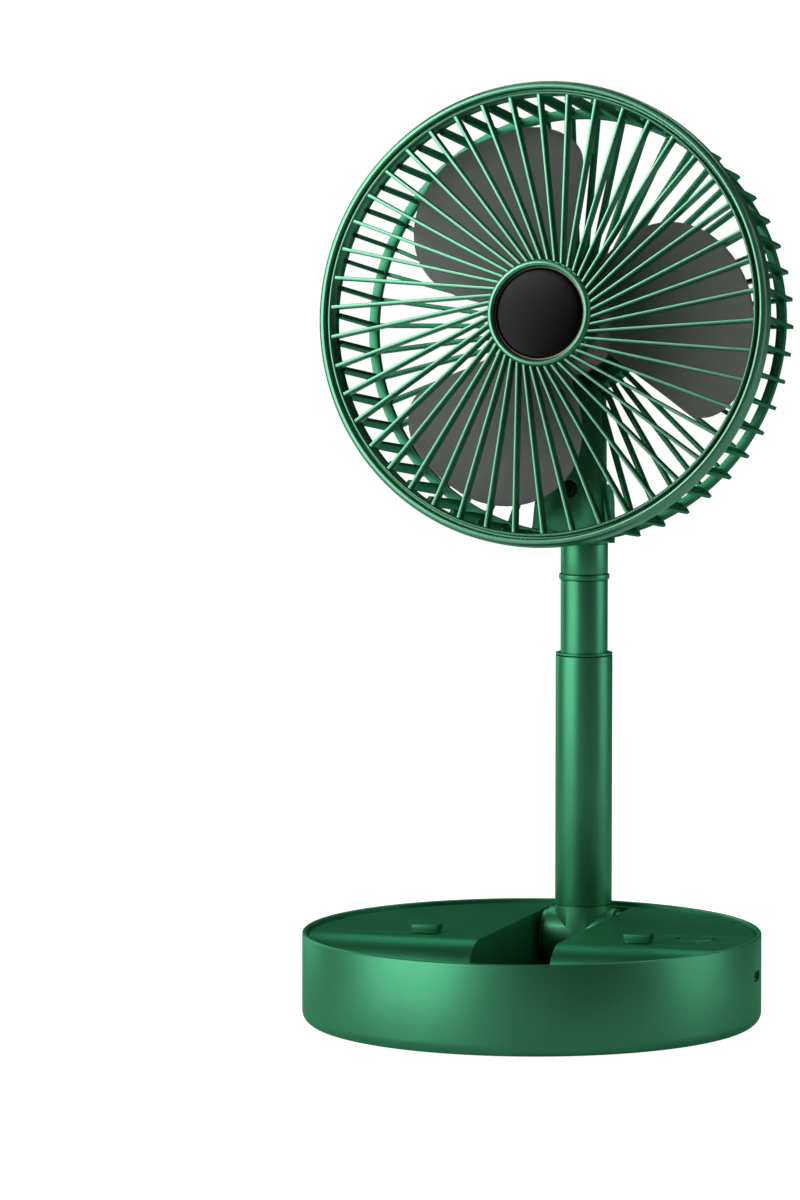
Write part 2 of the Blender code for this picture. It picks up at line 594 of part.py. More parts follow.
def blade(angle):
    """One broad petal, pitched across its width, as a thin closed sheet."""
    bm = bmesh.new()
    radial, chordwise = 7, 5
    layers = []
    for face in (-0.5, 0.5):
        grid = []
        for i in range(radial + 1):
            radius = BLADE_ROOT_R + (BLADE_TIP_R - BLADE_ROOT_R) * (i / radial) ** 0.8
            start, end = blade_edges(radius)
            row = []
            for j in range(chordwise + 1):
                heading = start + (end - start) * j / chordwise
                w = BLADE_W + BLADE_PITCH * (heading - BLADE_MIDDLE) / BLADE_SWEEP + face * BLADE_T
                row.append(bm.verts.new(polar(radius, angle + heading, w)))
            grid.append(row)
        layers.append(grid)
    low, high = layers
    for i in range(radial):
        for j in range(chordwise):
            bm.faces.new((low[i][j], low[i + 1][j], low[i + 1][j + 1], low[i][j + 1]))
            bm.faces.new((high[i][j], high[i][j + 1], high[i + 1][j + 1], high[i + 1][j]))
    for i in range(radial):
        for j in (0, chordwise):
            bm.faces.new((low[i][j], low[i + 1][j], high[i + 1][j], high[i][j]))
    for i in (0, radial):
        for j in range(chordwise):
            bm.faces.new((low[i][j], low[i][j + 1], high[i][j + 1], high[i][j]))
    bmesh.ops.recalc_face_normals(bm, faces=bm.faces)
    return bm


def build_rotor(spin_axis, frame):
    hub = [(2.3, -36.6), (6.0, -36.6), (6.0, -18.5), (16.2, -18.5), (18.7, -21.0), (18.7, -36.6), (20.5, -36.6)]
    hub += [(20.5, -18.0), (18.8, -16.0), (2.3, -16.0)]
    impeller = add_part("impeller", turned(profile(hub), MIDDLE_SIDES), GREY, parent=spin_axis, frame=frame)
    blades = [blade(360 * i / BLADES) for i in range(BLADES)]
    combine(impeller, merged(*blades), "UNION", frame)
    can = [(2.3, -38.5), (17.8, -38.5), (17.8, -53.2), (19.2, -53.2), (19.2, -37.1), (2.3, -37.1)]
    add_part("rotor_can", turned(profile(can), MIDDLE_SIDES), STEEL, parent=spin_axis, frame=frame)
    shaft = cylinder(2.0 * MM, -55.8 * MM, -10.0 * MM, SMALL_SIDES)
    add_part("motor_shaft", shaft, STEEL, parent=spin_axis, frame=frame)
    nut = cylinder(4.6 * MM, -15.7 * MM, -11.5 * MM, 6, bore=2.3 * MM)
    add_part("shaft_nut", nut, STEEL, parent=spin_axis, frame=frame)


def build():
    build_base_shell()
    build_charge_port()
    build_deck_plate()
    build_controls()
    build_power()
    build_fold_hinge()
    build_feet_and_screws()
    fold_axis = add_empty("fold_axis", Matrix.Translation((0, POLE_Y, FOLD_Z)))
    build_pole(fold_axis)
    slide_axis = add_empty("slide_axis", Matrix.Translation((0, POLE_Y, NECK_Z)), fold_axis)
    build_inner_pole(slide_axis)
    tilt_place = Matrix.Translation((0, POLE_Y, TILT_Z))
    pin_axis = add_empty("pin_axis", tilt_place, slide_axis)
    build_tilt_pin(pin_axis)
    tilt_axis = add_empty("tilt_axis", tilt_place, pin_axis)
    frame = head_frame()
    build_front_grille(tilt_axis, frame)
    build_rear_grille(tilt_axis, frame)
    build_hinge_bracket(tilt_axis, frame)
    build_motor(tilt_axis, frame)
    spin_axis = add_empty("spin_axis", frame, tilt_axis)
    build_rotor(spin_axis, frame)


clear_scene()
build()
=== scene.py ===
"""The looks of the folding desk fan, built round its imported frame.

World: +Z up, the fan faces -Y. Head frame: u to the object's right, v up the face, w out of the face.
"""

import json
import math

import bmesh
import bpy
from mathutils import Matrix, Vector


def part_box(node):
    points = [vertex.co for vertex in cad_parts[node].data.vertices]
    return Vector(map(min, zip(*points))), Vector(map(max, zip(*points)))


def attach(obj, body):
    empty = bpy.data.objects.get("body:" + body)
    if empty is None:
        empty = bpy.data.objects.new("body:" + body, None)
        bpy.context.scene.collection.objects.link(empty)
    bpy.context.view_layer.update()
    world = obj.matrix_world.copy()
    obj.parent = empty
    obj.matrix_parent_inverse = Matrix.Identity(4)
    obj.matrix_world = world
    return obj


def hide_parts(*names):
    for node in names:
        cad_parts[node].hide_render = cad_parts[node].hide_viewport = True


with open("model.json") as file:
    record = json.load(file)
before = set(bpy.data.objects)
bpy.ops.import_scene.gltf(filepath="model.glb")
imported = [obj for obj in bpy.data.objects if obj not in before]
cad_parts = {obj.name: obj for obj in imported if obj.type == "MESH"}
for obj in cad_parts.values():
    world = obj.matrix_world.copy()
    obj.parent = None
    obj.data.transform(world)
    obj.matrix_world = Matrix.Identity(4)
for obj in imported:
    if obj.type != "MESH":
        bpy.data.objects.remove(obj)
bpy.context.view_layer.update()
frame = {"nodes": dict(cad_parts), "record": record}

MM = 0.001
GAP = 0.3 * MM
ROUND = 192
JOINTS = {joint["name"]: joint for joint in frame["record"]["behaviour"]["joints"]}


# ---------------------------------------------------------------- places, read from the frame

def low(node, axis):
    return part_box(node)[0]["xyz".index(axis)]


def high(node, axis):
    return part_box(node)[1]["xyz".index(axis)]


def place(joint):
    return Vector(JOINTS[joint]["pos_m"])


FOLD = place("pole_fold")
TILT = place("head_tilt")
HEAD = place("fan_spin")
OUT = Vector(JOINTS["fan_spin"]["axis"]).normalized()
RIGHT = Vector((1, 0, 0))
HEAD_FRAME = Matrix.Translation(HEAD) @ Matrix((RIGHT, OUT.cross(RIGHT), OUT)).transposed().to_4x4()
TILT_V, TILT_W = (HEAD_FRAME.inverted() @ TILT)[1:]
BASE_R = high("base_shell", "x")
BASE_LOW = low("base_shell", "z")
BASE_TOP = high("base_shell", "z")
DECK_R = high("deck_plate", "x")
DECK_LOW = low("deck_plate", "z")
DECK_Z = high("button_bezel", "z")
BUTTON = Vector(((low("power_button", "x") + high("power_button", "x")) / 2,
                 (low("power_button", "y") + high("power_button", "y")) / 2, 0))
BUTTON_R = (high("power_button", "x") - low("power_button", "x")) / 2
OUTER_R = high("outer_tube", "x")
SEAM_Z = low("outer_tube", "z")
OUTER_TOP = high("guide_bush", "z")
INNER_R = high("inner_tube", "x")
NECK_Z = high("inner_tube", "z")
RING_R = high("front_grille", "x")


# ---------------------------------------------------------------- mesh tools

def add_object(name, bm, material, matrix=Matrix(), sharp=32):
    bmesh.ops.remove_doubles(bm, verts=bm.verts, dist=1e-7)
    bmesh.ops.recalc_face_normals(bm, faces=bm.faces)
    bm.transform(matrix)
    mesh = bpy.data.meshes.new(name)
    bm.to_mesh(mesh)
    bm.free()
    mesh.shade_smooth()
    mesh.set_sharp_from_angle(angle=math.radians(sharp))
    mesh.materials.append(material)
    obj = bpy.data.objects.new(name, mesh)
    bpy.context.scene.collection.objects.link(obj)
    return obj


def fit(obj, body, slot, *nodes):
    """The piece rides on its body and stands for its CAD nodes. The slot is not used."""
    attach(obj, body)
    if nodes:
        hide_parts(*nodes)
    return obj


def eased(outline, radius, steps=3):
    """The closed outline with each corner rounded by up to radius, less where its sides are short."""
    points = []
    count = len(outline)
    for i, corner in enumerate(outline):
        corner = Vector(corner)
        before = Vector(outline[i - 1]) - corner
        after = Vector(outline[(i + 1) % count]) - corner
        if min(before.length, after.length) < 1e-7 or abs(corner.x) < 1e-7:
            points.append(tuple(corner))
            continue
        half = before.angle(after) / 2
        if half > math.radians(80):
            points.append(tuple(corner))
            continue
        reach = min(radius / math.tan(half), 0.45 * before.length, 0.45 * after.length)
        start = corner + before.normalized() * reach
        end = corner + after.normalized() * reach
        for k in range(steps + 1):
            t = k / steps
            points.append(tuple(start * (1 - t) ** 2 + corner * 2 * t * (1 - t) + end * t * t))
    return points


def turned(outline, sides=ROUND, ease=0.25 * MM, steps=3):
    """A closed (radius, height) outline turned about +Z, with eased corners."""
    if ease:
        outline = eased(outline, ease, steps)
    bm = bmesh.new()
    rings = []
    for radius, height in outline:
        count = sides if radius > 1e-7 else 1
        turn = [math.tau * i / sides for i in range(count)]
        radius = max(radius, 0.0)
        rings.append([bm.verts.new((radius * math.cos(a), radius * math.sin(a), height)) for a in turn])
    for near, away in zip(rings, rings[1:] + rings[:1]):
        if len(near) == 1 and len(away) == 1:
            continue
        for i in range(sides):
            j = (i + 1) % sides
            corners = [near[i % len(near)], near[j % len(near)], away[j % len(away)], away[i % len(away)]]
            bm.faces.new(list(dict.fromkeys(corners)))
    bmesh.ops.recalc_face_normals(bm, faces=bm.faces)
    return bm


def arc(centre, radius, start, end, steps):
    angles = [math.radians(start + (end - start) * i / steps) for i in range(steps + 1)]
    return [(centre[0] + radius * math.cos(a), centre[1] + radius * math.sin(a)) for a in angles]


def prism(outline, start, stop, axes):
    """A flat outline in the plane of the first two axes, from start to stop along the third."""
    bm = bmesh.new()
    a, b, c = ("xyz".index(axis) for axis in axes)
    ends = []
    for level in (start, stop):
        ring = []
        for p, q in outline:
            point = [0.0, 0.0, 0.0]
            point[a], point[b], point[c] = p, q, level
            ring.append(bm.verts.new(point))
        ends.append(ring)
    bm.faces.new(ends[0])
    bm.faces.new(ends[1])
    for i in range(len(outline)):
        j = (i + 1) % len(outline)
        bm.faces.new((ends[0][i], ends[0][j], ends[1][j], ends[1][i]))
    bmesh.ops.recalc_face_normals(bm, faces=bm.faces)
    return bm


def box(corner, opposite):
    outline = [(corner[0], corner[1]), (opposite[0], corner[1])]
    outline += [(opposite[0], opposite[1]), (corner[0], opposite[1])]
    return prism(outline, corner[2], opposite[2], "xyz")


def cylinder(radius, start, stop, sides=48, ease=0.0):
    """A solid cylinder along Z."""
    return turned([(0, start), (radius, start), (radius, stop), (0, stop)], sides, ease)


def profile(points):
    """An outline given in millimetres."""
    return [(first * MM, second * MM) for first, second in points]


def lofted(rings, closed=False):
    """A skin through rings of points, with its ends filled unless it closes on itself."""
    bm = bmesh.new()
    loops = [[bm.verts.new(point) for point in ring] for ring in rings]
    count = len(loops[0])
    pairs = list(zip(loops, loops[1:] + loops[:1])) if closed else list(zip(loops, loops[1:]))
    for near, away in pairs:
        for i in range(count):
            j = (i + 1) % count
            bm.faces.new((near[i], near[j], away[j], away[i]))
    if not closed:
        bm.faces.new(loops[0])
        bm.faces.new(loops[-1])
    bmesh.ops.recalc_face_normals(bm, faces=bm.faces)
    return bm


def moved(bm, matrix):
    bm.transform(matrix)
    return bm


def merged(*parts):
    whole = bmesh.new()
    for part in parts:
        mesh = bpy.data.meshes.new("merge")
        part.to_mesh(mesh)
        part.free()
        whole.from_mesh(mesh)
        bpy.data.meshes.remove(mesh)
    return whole


def polar(radius, degrees, z=0.0):
    angle = math.radians(degrees)
    return Vector((radius * math.cos(angle), radius * math.sin(angle), z))


def across(y, z):
    """Carries a body turned about +Z onto the X-wise axis through y, z."""
    return Matrix.Translation((0, y, z)) @ Matrix.Rotation(math.pi / 2, 4, "Y")


def shaped(obj, *steps):
    """Boolean steps (operation, tool mesh), applied to the object's mesh."""
    for operation, tool_bm in steps:
        tool_mesh = bpy.data.meshes.new("tool")
        tool_bm.to_mesh(tool_mesh)
        tool_bm.free()
        tool = bpy.data.objects.new("tool", tool_mesh)
        bpy.context.scene.collection.objects.link(tool)
        modifier = obj.modifiers.new("shape", "BOOLEAN")
        modifier.operation = operation
        modifier.object = tool
        apply_modifiers(obj)
        bpy.data.objects.remove(tool, do_unlink=True)
        bpy.data.meshes.remove(tool_mesh)
    return obj


def apply_modifiers(obj):
    bpy.context.view_layer.update()
    evaluated = obj.evaluated_get(bpy.context.evaluated_depsgraph_get())
    mesh = bpy.data.meshes.new_from_object(evaluated)
    obj.modifiers.clear()
    old = obj.data
    obj.data = mesh
    bpy.data.meshes.remove(old)


def bevelled(obj, width=0.3 * MM, segments=2, angle=38, sharp=40):
    modifier = obj.modifiers.new("edges", "BEVEL")
    modifier.width = width
    modifier.segments = segments
    modifier.limit_method = "ANGLE"
    modifier.angle_limit = math.radians(angle)
    modifier.harden_normals = False
    apply_modifiers(obj)
    obj.data.shade_smooth()
    obj.data.set_sharp_from_angle(angle=math.radians(sharp))
    return obj


# ---------------------------------------------------------------- materials

def make_material(name, color, roughness, metallic=0.0, coat=0.0, bump=0.02, mottle=0.06, specular=0.5,
                  edge=(1.0, 1.0, 1.0)):
    """A finish whose colour, roughness and surface vary a little, as a moulded or sprayed part's do."""
    material = bpy.data.materials.new(name)
    material.use_nodes = True
    nodes, links = material.node_tree.nodes, material.node_tree.links
    shader = nodes["Principled BSDF"]
    shader.inputs["Metallic"].default_value = metallic
    shader.inputs["Coat Weight"].default_value = coat
    shader.inputs["Coat Roughness"].default_value = 0.18
    shader.inputs["Specular IOR Level"].default_value = specular
    shader.inputs["Specular Tint"].default_value = (*edge, 1.0)
    where = nodes.new("ShaderNodeTexCoord")
    broad = nodes.new("ShaderNodeTexNoise")
    broad.inputs["Scale"].default_value = 45.0
    broad.inputs["Detail"].default_value = 3.0
    links.new(where.outputs["Object"], broad.inputs["Vector"])
    tint = nodes.new("ShaderNodeValToRGB")
    tint.color_ramp.elements[0].position = 0.3
    tint.color_ramp.elements[1].position = 0.7
    tint.color_ramp.elements[0].color = (*[c * (1 - mottle) for c in color], 1)
    tint.color_ramp.elements[1].color = (*[min(1, c * (1 + mottle)) for c in color], 1)
    links.new(broad.outputs["Fac"], tint.inputs["Fac"])
    links.new(tint.outputs["Color"], shader.inputs["Base Color"])
    fine = nodes.new("ShaderNodeTexNoise")
    fine.inputs["Scale"].default_value = 2600.0
    fine.inputs["Detail"].default_value = 2.0
    links.new(where.outputs["Object"], fine.inputs["Vector"])
    gloss = nodes.new("ShaderNodeMapRange")
    gloss.inputs["To Min"].default_value = roughness * 0.95
    gloss.inputs["To Max"].default_value = roughness * 1.05
    links.new(broad.outputs["Fac"], gloss.inputs["Value"])
    links.new(gloss.outputs["Result"], shader.inputs["Roughness"])
    relief = nodes.new("ShaderNodeBump")
    relief.inputs["Strength"].default_value = bump
    relief.inputs["Distance"].default_value = 0.02 * MM
    links.new(fine.outputs["Fac"], relief.inputs["Height"])
    links.new(relief.outputs["Normal"], shader.inputs["Normal"])
    return material


SHEEN = (0.4, 0.85, 0.6)
GREEN = make_material("green_satin", (0.065, 0.33, 0.17), 0.42, metallic=0.8, edge=SHEEN)
GREEN_TUBE = make_material("green_tube", (0.065, 0.33, 0.17), 0.38, metallic=0.85, edge=SHEEN)
# A darker copy of the shell's green, with dimmer reflections: painted shade on the deck plate, the power
# button and its bezel.
GREEN_DECK_SHADED = make_material("green_deck_painted_shade", (0.04, 0.25, 0.12), 0.42, metallic=0.8, edge=(0.2, 0.55, 0.38))
# A paler green than the shell's: partly the trim's own tone, partly painted highlight for the mint sheen on
# the grille's front faces.
TRIM_WITH_PAINTED_HIGHLIGHT = make_material("green_trim", (0.13, 0.38, 0.24), 0.3, metallic=0.9, coat=0.15, edge=SHEEN)
# A darker copy of the shell's green, with dimmer reflections: painted shade on the rear cage seen behind the
# blades.
CAGE_SHADED = make_material("green_cage_painted_shade", (0.05, 0.27, 0.14), 0.4, metallic=0.85, edge=(0.25, 0.6, 0.42))
GREY = make_material("impeller_grey", (0.22, 0.225, 0.21), 0.55, bump=0.06, mottle=0.04)
BLACK = make_material("badge_black", (0.001, 0.001, 0.001), 0.26, bump=0.0, mottle=0.02, specular=0.14)
BRONZE = make_material("badge_rim", (0.16, 0.13, 0.1), 0.3, metallic=0.9, bump=0.02)
RUBBER = make_material("rubber", (0.02, 0.02, 0.02), 0.85, bump=0.2, mottle=0.1)
STEEL = make_material("steel", (0.55, 0.55, 0.56), 0.3, metallic=1.0, bump=0.03)
DARK_STEEL = make_material("blackened_steel", (0.03, 0.06, 0.045), 0.4, metallic=0.9, bump=0.03)
POLYMER = make_material("polymer", (0.7, 0.69, 0.64), 0.5, bump=0.05)
BOARD = make_material("board", (0.015, 0.13, 0.05), 0.45, bump=0.03)
CELL = make_material("cell_wrap", (0.05, 0.13, 0.35), 0.35, coat=0.3, bump=0.01)
LIGHT_PIPE = make_material("light_pipe", (0.02, 0.09, 0.05), 0.3, coat=0.3, bump=0.0, mottle=0.02)
COPPER = make_material("copper", (0.6, 0.27, 0.12), 0.35, metallic=1.0, bump=0.05)


# ---------------------------------------------------------------- camera, light and stage

def build_camera():
    """A long lens from the front right, a little above, level with the top of the head."""
    distance, height = 2.5, 0.4058
    azimuth, pan, pitch = math.radians(17.0), math.radians(1.13), math.radians(5.645)
    camera = bpy.data.objects.new("camera", bpy.data.cameras.new("camera"))
    camera.data.sensor_width = 36.0
    camera.data.lens = 202.25
    camera.data.clip_end = 100
    heading = azimuth + pan
    level = Vector((-math.sin(heading), math.cos(heading), 0))
    right = Vector((math.cos(heading), math.sin(heading), 0))
    forward = level * math.cos(pitch) - Vector((0, 0, math.sin(pitch)))
    axes = Matrix((right, right.cross(forward), -forward)).transposed().to_4x4()
    spot = Vector((distance * math.sin(azimuth), -distance * math.cos(azimuth), height))
    camera.matrix_world = Matrix.Translation(spot) @ axes
    bpy.context.scene.collection.objects.link(camera)
    bpy.context.scene.camera = camera
    return azimuth


def add_softbox(name, heading, elevation, distance, width, height, power):
    """An area light aimed at the fan. heading 0 is in front, positive towards +X, in degrees."""
    target = Vector((0, 0, 0.17))
    turn, rise = math.radians(heading), math.radians(elevation)
    away = Vector((math.sin(turn) * math.cos(rise), -math.cos(turn) * math.cos(rise), math.sin(rise)))
    data = bpy.data.lights.new(name, "AREA")
    data.shape = "RECTANGLE"
    data.size, data.size_y, data.energy = width, height, power
    light = bpy.data.objects.new(name, data)
    light.location = target + away * distance
    light.rotation_euler = (-away).to_track_quat("-Z", "Y").to_euler()
    light.visible_camera = False
    bpy.context.scene.collection.objects.link(light)


def build_studio(azimuth):
    facing = math.degrees(azimuth)
    add_softbox("left_softbox", facing - 63, 8, 1.3, 1.3, 1.7, 17.5)
    add_softbox("right_softbox", facing + 88, 6, 1.3, 0.75, 1.7, 6.5)
    add_softbox("top_softbox", facing + 168, 52, 1.5, 1.5, 1.0, 7)
    add_softbox("front_softbox", facing - 42, 30, 1.6, 0.8, 0.5, 3)
    add_softbox("rim_softbox", facing - 140, 10, 1.5, 0.5, 1.5, 5)
    world = bpy.data.worlds.new("studio")
    world.use_nodes = True
    bpy.context.scene.world = world
    nodes, links = world.node_tree.nodes, world.node_tree.links
    output = nodes["World Output"]
    fill = nodes["Background"]
    fill.inputs["Color"].default_value = (1, 1, 1, 1)
    fill.inputs["Strength"].default_value = 0.02
    seen = nodes.new("ShaderNodeBackground")
    seen.inputs["Color"].default_value = (1, 1, 1, 1)
    seen.inputs["Strength"].default_value = 1.0
    rays = nodes.new("ShaderNodeLightPath")
    mix = nodes.new("ShaderNodeMixShader")
    links.new(rays.outputs["Is Camera Ray"], mix.inputs["Fac"])
    links.new(fill.outputs["Background"], mix.inputs[1])
    links.new(seen.outputs["Background"], mix.inputs[2])
    links.new(mix.outputs["Shader"], output.inputs["Surface"])
    floor_bm = bmesh.new()
    bmesh.ops.create_grid(floor_bm, x_segments=1, y_segments=1, size=60)
    pale = bpy.data.materials.new("pale_floor")
    pale.use_nodes = True
    shader = pale.node_tree.nodes["Principled BSDF"]
    shader.inputs["Base Color"].default_value = (0.55, 0.55, 0.55, 1)
    shader.inputs["Roughness"].default_value = 0.9
    shader.inputs["Specular IOR Level"].default_value = 0.0
    shader.inputs["Emission Color"].default_value = (1, 1, 1, 1)
    nodes, links = pale.node_tree.nodes, pale.node_tree.links
    rays = nodes.new("ShaderNodeLightPath")
    glow = nodes.new("ShaderNodeMapRange")
    glow.inputs["To Min"].default_value = 0.12
    glow.inputs["To Max"].default_value = 1.0
    links.new(rays.outputs["Is Camera Ray"], glow.inputs["Value"])
    links.new(glow.outputs["Result"], shader.inputs["Emission Strength"])
    floor = add_object("floor", floor_bm, pale, Matrix.Translation((0, 0, -0.0002)))
    bpy.context.scene.view_settings.view_transform = "Standard"


# ---------------------------------------------------------------- base

def port_outline(half_width, half_height):
    right = arc((half_width - half_height, 0), half_height, -90, 90, 12)
    left = arc((half_height - half_width, 0), half_height, 90, 270, 12)
    return right + left


def port_frame():
    """z out through the side wall, x along the wall, y up, at the middle of the charge port."""
    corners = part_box("charge_port")
    middle = [(a + b) / 2 for a, b in zip(*corners)]
    out = Vector((middle[0], middle[1], 0)).normalized()
    axes = Matrix((Vector((-out.y, out.x, 0)), Vector((0, 0, 1)), out)).transposed().to_4x4()
    return Matrix.Translation((0, 0, middle[2])) @ axes


def places_of(node):
    """Middles of the four nodes numbered node_1 to node_4, seen from above, on the plane z = 0."""
    places = []
    for number in (1, 2, 3, 4):
        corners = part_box(f"{node}_{number}")
        places.append(Vector(((corners[0][0] + corners[1][0]) / 2, (corners[0][1] + corners[1][1]) / 2, 0)))
    return places


def build_base_shell():
    wall, fillet = 1.9 * MM, 4.6 * MM
    underside = BASE_LOW - 0.7 * MM
    floor_top = BASE_LOW + 2.0 * MM
    inner_r = BASE_R - wall
    fillet_in = fillet - wall
    outline = [(inner_r, BASE_TOP - 0.5 * MM)]
    outline += arc((BASE_R - wall / 2, BASE_TOP - wall / 2), wall / 2, 180, 0, 10)[1:-1]
    outline += arc((BASE_R - fillet, underside + fillet), fillet, 0, -90, 14)
    outline += [(0, underside), (0, floor_top)]
    outline += arc((inner_r - fillet_in, floor_top + fillet_in), fillet_in, -90, 0, 8)
    shell = add_object("base_shell_fine", turned(outline, ROUND, ease=0), GREEN)
    slot = prism(port_outline(4.9 * MM, 1.9 * MM), BASE_R - 6 * MM, BASE_R + 4 * MM, "xyz")
    feet = [moved(cylinder(6.3 * MM, 0, 2.2 * MM), Matrix.Translation(p)) for p in places_of("rubber_foot")]
    wells = [moved(cylinder(3.1 * MM, 0, 2 * MM, 32), Matrix.Translation(p)) for p in places_of("case_screw")]
    shaped(shell, ("DIFFERENCE", moved(slot, port_frame())), ("DIFFERENCE", merged(*feet, *wells)))
    shell.data.shade_smooth()
    shell.data.set_sharp_from_angle(angle=math.radians(35))
    fit(shell, "base", "green_shell", "base_shell")


REST_PLACES = (-39.2 * MM, 43.4 * MM)
NOTCH_HEADINGS = (40, 140, 168, 205)


def build_deck():
    """The top plate: flat behind, rolled down in front, with the pole's channel and the head's two rests."""
    thick, channel = 1.8 * MM, 15.5 * MM
    shoulder_y, shoulder_r = -16 * MM, 14 * MM
    trough = DECK_LOW + thick
    far = 95 * MM
    end = shoulder_y - shoulder_r
    centre = (shoulder_y, DECK_Z - shoulder_r)
    # The deck takes the darker green of painted shade.
    deck = add_object("deck_plate_fine", cylinder(DECK_R, DECK_LOW, DECK_Z, ROUND, 0.3 * MM), GREEN_DECK_SHADED)
    front = [(-far, trough), (end, trough)] + arc(centre, shoulder_r, 180, 90, 32)
    front += [(shoulder_y, 2 * DECK_Z), (-far, 2 * DECK_Z)]
    under = [(far, 0), (far, DECK_Z - thick)] + arc(centre, shoulder_r - thick, 90, 180, 24)
    under += [(end + thick, 0)]
    wall_x = channel + thick
    pockets = merged(prism(under, wall_x, far, "yzx"), prism(under, -far, -wall_x, "yzx"))
    slot = box((-channel, -60 * MM, trough), (channel, 80 * MM, 2 * DECK_Z))
    rest_top = high("deck_plate", "z")
    stems = [box((x - 4.8 * MM, -7.2 * MM, DECK_Z - 0.9 * MM), (x + 4.4 * MM, -3.0 * MM, DECK_Z + 1.6 * MM))
             for x in REST_PLACES]
    rests = [box((x - 4.9 * MM, -9.5 * MM, DECK_Z + 1.1 * MM), (x + 4.9 * MM, -2.5 * MM, rest_top))
             for x in REST_PLACES]
    notches = [moved(box((DECK_R - 1.6 * MM, -1.4 * MM, DECK_Z - 1.2 * MM), (far, 1.4 * MM, 2 * DECK_Z)),
                     Matrix.Rotation(math.radians(heading), 4, "Z")) for heading in NOTCH_HEADINGS]
    cut = (20 * MM, 60 * MM)
    hole = cylinder(BUTTON_R + 1.6 * MM, *cut, 64)
    lights = [moved(cylinder(1.1 * MM, *cut, 24), Matrix.Translation(p)) for p in places_of("led_light_pipe")]
    pin_hole = cylinder(5.3 * MM, -25 * MM, 25 * MM)
    shaped(deck, ("DIFFERENCE", prism(front, -far, far, "yzx")), ("DIFFERENCE", pockets),
           ("DIFFERENCE", slot),
           ("UNION", merged(*stems)), ("UNION", merged(*rests)), ("DIFFERENCE", merged(*notches)),
           ("DIFFERENCE", merged(moved(hole, Matrix.Translation(BUTTON)), *lights)),
           ("DIFFERENCE", moved(pin_hole, across(FOLD.y, FOLD.z))))
    bevelled(deck, 0.45 * MM, 3, 40)
    fit(deck, "base", "green_shell", "deck_plate")


def build_controls():
    at = Matrix.Translation(BUTTON)
    inner, outer = BUTTON_R + GAP, BUTTON_R + 1.3 * MM
    bezel = [(inner, 27.5 * MM), (outer, 27.5 * MM), (outer, DECK_Z), (inner + 0.2 * MM, DECK_Z)]
    # The bezel and the button take the deck's darker green, painted shade.
    fit(add_object("button_bezel_fine", turned(bezel, 96, 0.15 * MM), GREEN_DECK_SHADED, at), "base", "green_trim",
        "button_bezel")
    crown = DECK_Z + 0.2 * MM
    cap = [(0, 26.5 * MM), (2.5 * MM, 26.5 * MM), (2.5 * MM, 29 * MM), (BUTTON_R, 29 * MM)]
    cap += [(BUTTON_R, crown - 0.4 * MM), (BUTTON_R - 0.6 * MM, crown), (3.4 * MM, crown - 0.2 * MM)]
    cap += [(0, crown - 0.25 * MM)]
    fit(add_object("power_button_fine", turned(cap, 96, 0.25 * MM), GREEN_DECK_SHADED, at), "button", "green_trim",
        "power_button")
    for number, spot in enumerate(places_of("led_light_pipe"), 1):
        pipe = [(0, 25.2 * MM), (0.8 * MM, 25.2 * MM), (0.8 * MM, DECK_Z - 0.2 * MM), (0, DECK_Z)]
        obj = add_object(f"led_light_pipe_{number}_fine", turned(pipe, 24, 0.2 * MM), LIGHT_PIPE,
                         Matrix.Translation(spot))
        fit(obj, "base", "light_pipe", f"led_light_pipe_{number}")


FOLD_BORE_R = 2.7 * MM
TILT_BORE_R = 2.2 * MM


def build_fold_hinge():
    barrel = high("pole_foot", "x")
    for side, sign in (("left", -1), ("right", 1)):
        flange = barrel + GAP
        bush = [(FOLD_BORE_R, flange), (9.6 * MM, flange), (9.6 * MM, 15.2 * MM), (5 * MM, 15.2 * MM)]
        bush += [(5 * MM, 18.2 * MM), (FOLD_BORE_R, 18.2 * MM)]
        bush = [(radius, sign * height) for radius, height in bush]
        obj = add_object(f"fold_bush_{side}_fine", turned(bush, 96), GREEN, across(FOLD.y, FOLD.z))
        fit(obj, "base", "green_shell", f"fold_bush_{side}")
    pin = cylinder(2.4 * MM, -19.5 * MM, 19.5 * MM, 48, 0.25 * MM)
    fit(add_object("fold_pin_fine", pin, STEEL, across(FOLD.y, FOLD.z)), "base", "steel", "fold_pin")


def cross_screw(head_r, shank_r, head_low, head_high, tip):
    """A pan-head screw along Z and the two arms of its recess. The head lies between two heights."""
    up = 1 if tip > head_low else -1
    outer, inner = (head_low, head_high) if up > 0 else (head_high, head_low)
    outline = [(0, outer), (head_r, outer), (head_r, inner), (shank_r, inner), (shank_r, tip)]
    outline += [(0, tip + up * 0.6 * MM)]
    reach, half, depth = 1.5 * MM, 0.32 * MM, 0.45 * MM
    arms = [box((-reach, -half, outer - depth), (reach, half, outer + depth)),
            box((-half, -reach, outer - depth - 0.01 * MM), (half, reach, outer + depth + 0.01 * MM))]
    return turned(outline, 48, 0.3 * MM), arms


def build_feet_and_screws():
    for number, spot in enumerate(places_of("rubber_foot"), 1):
        foot = profile([(0, 0.25), (3.6, 0.25), (4.0, 0), (5.5, 0), (6, 0.6), (6, 1.9), (0, 1.9)])
        obj = add_object(f"rubber_foot_{number}_fine", turned(foot, 64, 0.15 * MM), RUBBER,
                         Matrix.Translation(spot))
        fit(obj, "base", "rubber", f"rubber_foot_{number}")
    for number, spot in enumerate(places_of("case_screw"), 1):
        screw, arms = cross_screw(2.6 * MM, 1.3 * MM, 0.9 * MM, 1.7 * MM, 12 * MM)
        obj = add_object(f"case_screw_{number}_fine", screw, STEEL)
        shaped(obj, *(("DIFFERENCE", arm) for arm in arms))
        obj.data.transform(Matrix.Translation(spot))
        fit(obj, "base", "steel", f"case_screw_{number}")


# ---------------------------------------------------------------- pole

